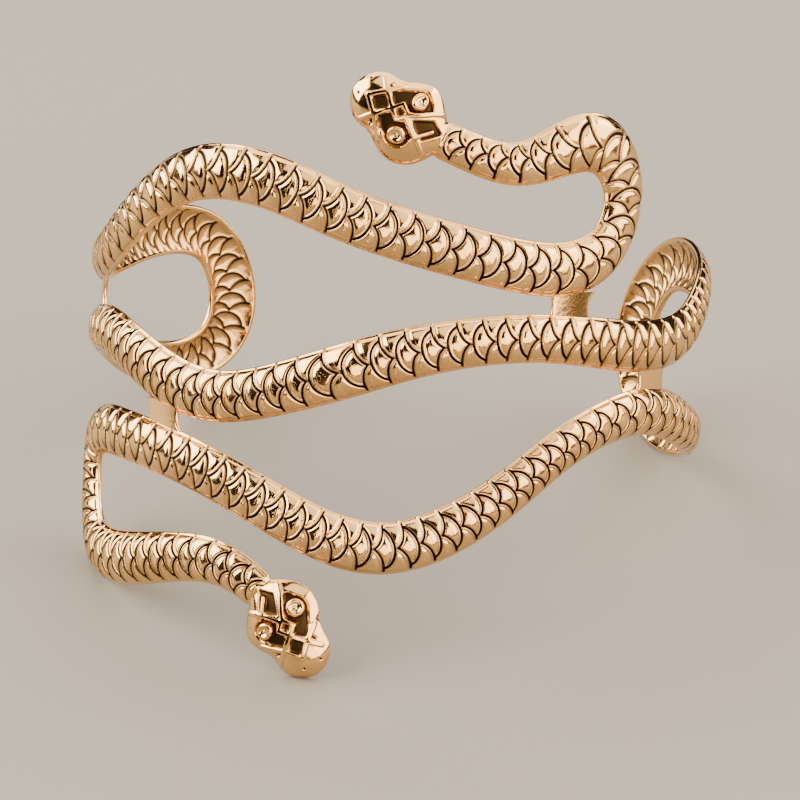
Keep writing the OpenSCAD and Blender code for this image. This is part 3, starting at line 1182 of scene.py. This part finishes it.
@dataclass
class SnakeHead:
    """One head, from the tip of its snout to the neck."""

    section: SheetSection
    which: Head
    detail: HeadRelief = field(default_factory=HeadRelief)
    # the relief's place on each head: millimetres forward and to the side, degrees turned
    aim: dict[Head, tuple[float, float, float]] = field(
        default_factory=lambda: {Head.UPPER: (0.23, 0.37, 2.74), Head.LOWER: (-0.03, 0.37, 2.06)}
    )
    rows: int = 150
    outer_count: int = 116
    back_count: int = 56
    crowding: float = 1.25
    snout_tip: float = 0.002
    back_quiet: float = 0.4

    def relief_at(self, st: Stations, share: Array, face: Face) -> Relief:
        """Relief of the head at stations and shares, lower on the back."""
        route = self.section.route
        tip = st.length if self.which is Head.UPPER else route.total - st.length
        forward, sideways, turn = self.aim[self.which]
        ahead = (route.head.eyes_at * route.head.length - tip)[:, None] - forward
        side = share * st.half[:, None] - sideways
        edge = np.minimum((1 - np.abs(share)) * st.half[:, None], tip[:, None] * 1.2)
        cos, sin = np.cos(np.radians(turn)), np.sin(np.radians(turn))
        along, off = ahead * cos + side * sin, side * cos - ahead * sin
        height, recess = self.detail.relief(along, off, edge)
        quiet = 1.0 if face is Face.OUTER else self.back_quiet
        return height * quiet, recess * quiet, np.zeros((*share.shape, 3))

    def build(self) -> bpy.types.Object:
        """Build the head and return it."""
        head = self.section.route.head
        tip = head.length * np.linspace(0, 1, self.rows) ** self.crowding
        tip[0] = self.snout_tip
        if self.which is Head.UPPER:
            length = tip
        else:
            length = (self.section.route.total - tip)[::-1]
        skin = self.section.skin(length, self.outer_count, self.back_count, self.relief_at, -0.5)
        LOG.info("%s head: %d rows", self.which.name.lower(), self.rows)
        return tube_mesh(f"{self.which.name.lower()}_head", skin)


@dataclass
class Bridges:
    """Four thin tabs between neighbouring bands, narrowest at the waist."""

    section: SheetSection
    waist: float = 5.4
    flare: float = 0.34
    thickness: float = 0.6
    # share of reach, share of rise at the foot and at the head, roots included
    places: tuple[tuple[float, float, float], ...] = (
        (0.326, 0.190, 0.310),
        (-0.530, 0.080, 0.190),
        (0.497, -0.080, 0.030),
        (-0.262, -0.330, -0.220),
    )
    sunk: float = 0.05
    rows: int = 28
    face_count: int = 26
    edge_count: int = 7

    def skin(self, around: float, low: float, high: float) -> Skin:
        """Skin of one tab.

        Its half width is waist / 2 * (1 + flare * |2v - 1|^3) at the share v of
        its height, and its section is a thin oblong with rounded edges.

        Args:
            around: angle of its middle as a share of the route's reach.
            low: height of its foot as a share of the rise.
            high: height of its head as a share of the rise.

        Returns:
            The closed skin in millimetres, standing on the ground.
        """
        route = self.section.route
        v = np.linspace(0, 1, self.rows)[:, None]
        half = self.waist / 2 * (1 + self.flare * np.abs(2 * v - 1) ** 3)
        run = np.linspace(-1, 1, self.face_count)
        turn = np.linspace(np.pi / 2, -np.pi / 2, self.edge_count + 2)[1:-1]
        radius = self.thickness / 2
        level, side = np.ones(self.face_count), np.ones(self.edge_count)
        across = np.concatenate([run, side, run[::-1], -side])
        bulge = np.concatenate([0 * level, np.cos(turn), 0 * level, -np.cos(turn)])
        out = np.concatenate([level, np.sin(turn), -level, -np.sin(turn)]) * radius
        x = across * (half - radius) + bulge * radius
        angle = around * route.reach
        up = (low + (high - low) * v) * route.rise
        around_wall = angle + x / route.wall.stretch(np.array(angle))
        points = route.wall.place(around_wall, up, out - self.sunk)
        points = self.section.stance.stand(points)
        plain = np.zeros(points.shape[:2])
        return Skin(points, ring_normals(points), plain, np.zeros(points.shape))

    def build(self) -> list[bpy.types.Object]:
        """Build the four tabs and return them."""
        made = []
        for k, place in enumerate(self.places):
            made.append(tube_mesh(f"bridge_{k + 1}", self.skin(*place)))
            LOG.info("bridge %d", k + 1)
        return made


@dataclass
class ArmCuff:
    """The whole cuff: two heads, the scaled body and the bridges."""

    finish: PolishedGoldAlloy = field(default_factory=PolishedGoldAlloy)
    section: SheetSection = field(default_factory=lambda: SheetSection(Route(), Stance()))

    def build(self) -> list[bpy.types.Object]:
        """Build every piece, dress it and let it stand for the CAD node.

        Returns:
            All pieces of the cuff.
        """
        metal = self.finish.material()
        made = [SnakeHead(self.section, which).build() for which in Head]
        made += ScaledBody(self.section).build()
        made += Bridges(self.section).build()
        for piece in made:
            piece.data.materials.append(metal)
            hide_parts("cuff")
            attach(piece, "root")
        return made


@dataclass(frozen=True)
class Viewpoint:
    """The photograph's camera, measured against the upright wall.

    The wall is turned by yaw, and the camera looks at the middle of the wall
    from the given distance, elevation and roll. The picture's middle lies off
    that line by the offset, in pixels.
    """

    distance: float = 450.0
    focal_px: float = 3375.0
    elevation: float = 5.014
    yaw: float = -11.981
    roll: float = 3.802
    offset_px: tuple[float, float] = (-4.51, -39.068)
    middle_up: float = 2.601
    picture_px: int = 800
    sensor_mm: float = 36.0

    def matrix(self, stance: Stance) -> Matrix:
        """World matrix of the camera on the leaned cuff's ground.

        Args:
            stance: how the wall leans.

        Returns:
            The camera's matrix in metres.
        """
        e, yaw, roll = np.radians([self.elevation, self.yaw, self.roll])
        ahead = np.array([0, np.cos(e), -np.sin(e)])
        right = np.array([1.0, 0, 0])
        up = np.array([0, np.sin(e), np.cos(e)])
        turned_right = np.cos(roll) * right + np.sin(roll) * up
        turned_up = -np.sin(roll) * right + np.cos(roll) * up
        aim = (
            ahead
            - turned_right * self.offset_px[0] / self.focal_px
            + turned_up * self.offset_px[1] / self.focal_px
        )
        aim = unit(aim)
        side = unit(np.cross(aim, turned_up))
        to_wall = np.array(
            [[np.cos(yaw), np.sin(yaw), 0], [-np.sin(yaw), np.cos(yaw), 0], [0, 0, 1.0]]
        )
        lean = stance.axes() @ to_wall
        eye = stance.axes() @ (to_wall @ (-self.distance * ahead) - [0, 0, self.middle_up])
        eye += np.array(stance.shift)
        return world_matrix(lean @ side, lean @ np.cross(side, aim), lean @ -aim, eye * MM)

    def build(self, stance: Stance) -> None:
        """Add the camera and make it the scene's own."""
        lens = bpy.data.cameras.new("camera")
        lens.sensor_width = self.sensor_mm
        lens.lens = self.focal_px * self.sensor_mm / self.picture_px
        lens.clip_start = 0.01
        camera = place_object("camera", lens)
        camera.matrix_world = self.matrix(stance)
        bpy.context.scene.camera = camera


@dataclass(frozen=True)
class Softbox:
    """One area light: where it is, what it faces, its size and its strength."""

    name: str
    place: tuple[float, float, float]
    target: tuple[float, float, float]
    width: float
    height: float
    watts: float
    tint: str

    def build(self) -> None:
        """Add the light to the scene."""
        light = bpy.data.lights.new(self.name, "AREA")
        light.shape = "RECTANGLE"
        light.size = self.width
        light.size_y = self.height
        light.energy = self.watts
        light.color = linear(self.tint)[:3]
        back = unit(np.subtract(self.place, self.target))
        side = unit(np.cross([0.0, 0.0, 1.0], back))
        lamp = place_object(self.name, light)
        lamp.matrix_world = world_matrix(side, np.cross(back, side), back, self.place)


@dataclass(frozen=True)
class Studio:
    """Pale table, soft light and the camera."""

    view: Viewpoint = field(default_factory=Viewpoint)
    table: PaleTable = field(default_factory=PaleTable)
    dusk: str = "#1d1b19"
    half_table: float = 3.0
    lights: tuple[Softbox, ...] = (
        Softbox("left_softbox", (-1.0, -0.15, 0.75), (0, 0, 0.03), 1.4, 1.2, 74.0, "#fff4e4"),
        Softbox("right_softbox", (1.0, -0.1, 0.62), (0, 0, 0.03), 2.2, 1.1, 64.0, "#ffebd2"),
        Softbox("front_softbox", (0.35, -1.25, 0.36), (0, 0, 0.03), 1.1, 0.5, 12.0, "#ffe6c8"),
        Softbox("back_softbox", (0.15, 0.7, 0.85), (0, 0, 0.03), 2.0, 1.0, 30.0, "#fff4e4"),
        Softbox("overhead_softbox", (0.2, -0.1, 1.15), (0, 0, 0.03), 0.8, 0.8, 6.0, "#fff3e4"),
    )

    def build(self, ground: float, stance: Stance) -> None:
        """Set the table at the ground, the lights, the air and the camera.

        Args:
            ground: height of the table top in metres.
            stance: how the cuff leans, for the camera.
        """
        mesh = bpy.data.meshes.new("table_top")
        far = self.half_table
        corners = [(x * far, y * far, ground) for x, y in ((-1, -1), (1, -1), (1, 1), (-1, 1))]
        mesh.from_pydata(corners, [], [(0, 1, 2, 3)])
        mesh.materials.append(self.table.material())
        top = place_object("table_top", mesh)
        top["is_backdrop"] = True
        for light in self.lights:
            light.build()
        world = bpy.data.worlds.new("studio_air")
        world.use_nodes = True
        world.node_tree.nodes.clear()
        glow = {"Color": linear(self.dusk), "Strength": 1.0}
        air = add_node(world.node_tree, "ShaderNodeBackground", inputs=glow)
        add_node(world.node_tree, "ShaderNodeOutputWorld", inputs={"Surface": air.outputs[0]})
        bpy.context.scene.world = world
        self.view.build(stance)


def main() -> None:
    logging.basicConfig(level=logging.INFO, format="%(name)s: %(message)s")
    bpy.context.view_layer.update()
    cuff = ArmCuff()
    pieces = cuff.build()
    made_box = [list(corner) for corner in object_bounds()]
    LOG.info("%d pieces, lowest point %.5f m", len(pieces), made_box[0][2])
    Studio().build(min(0.0, made_box[0][2]), cuff.section.stance)


if __name__ == "__main__":
    main()
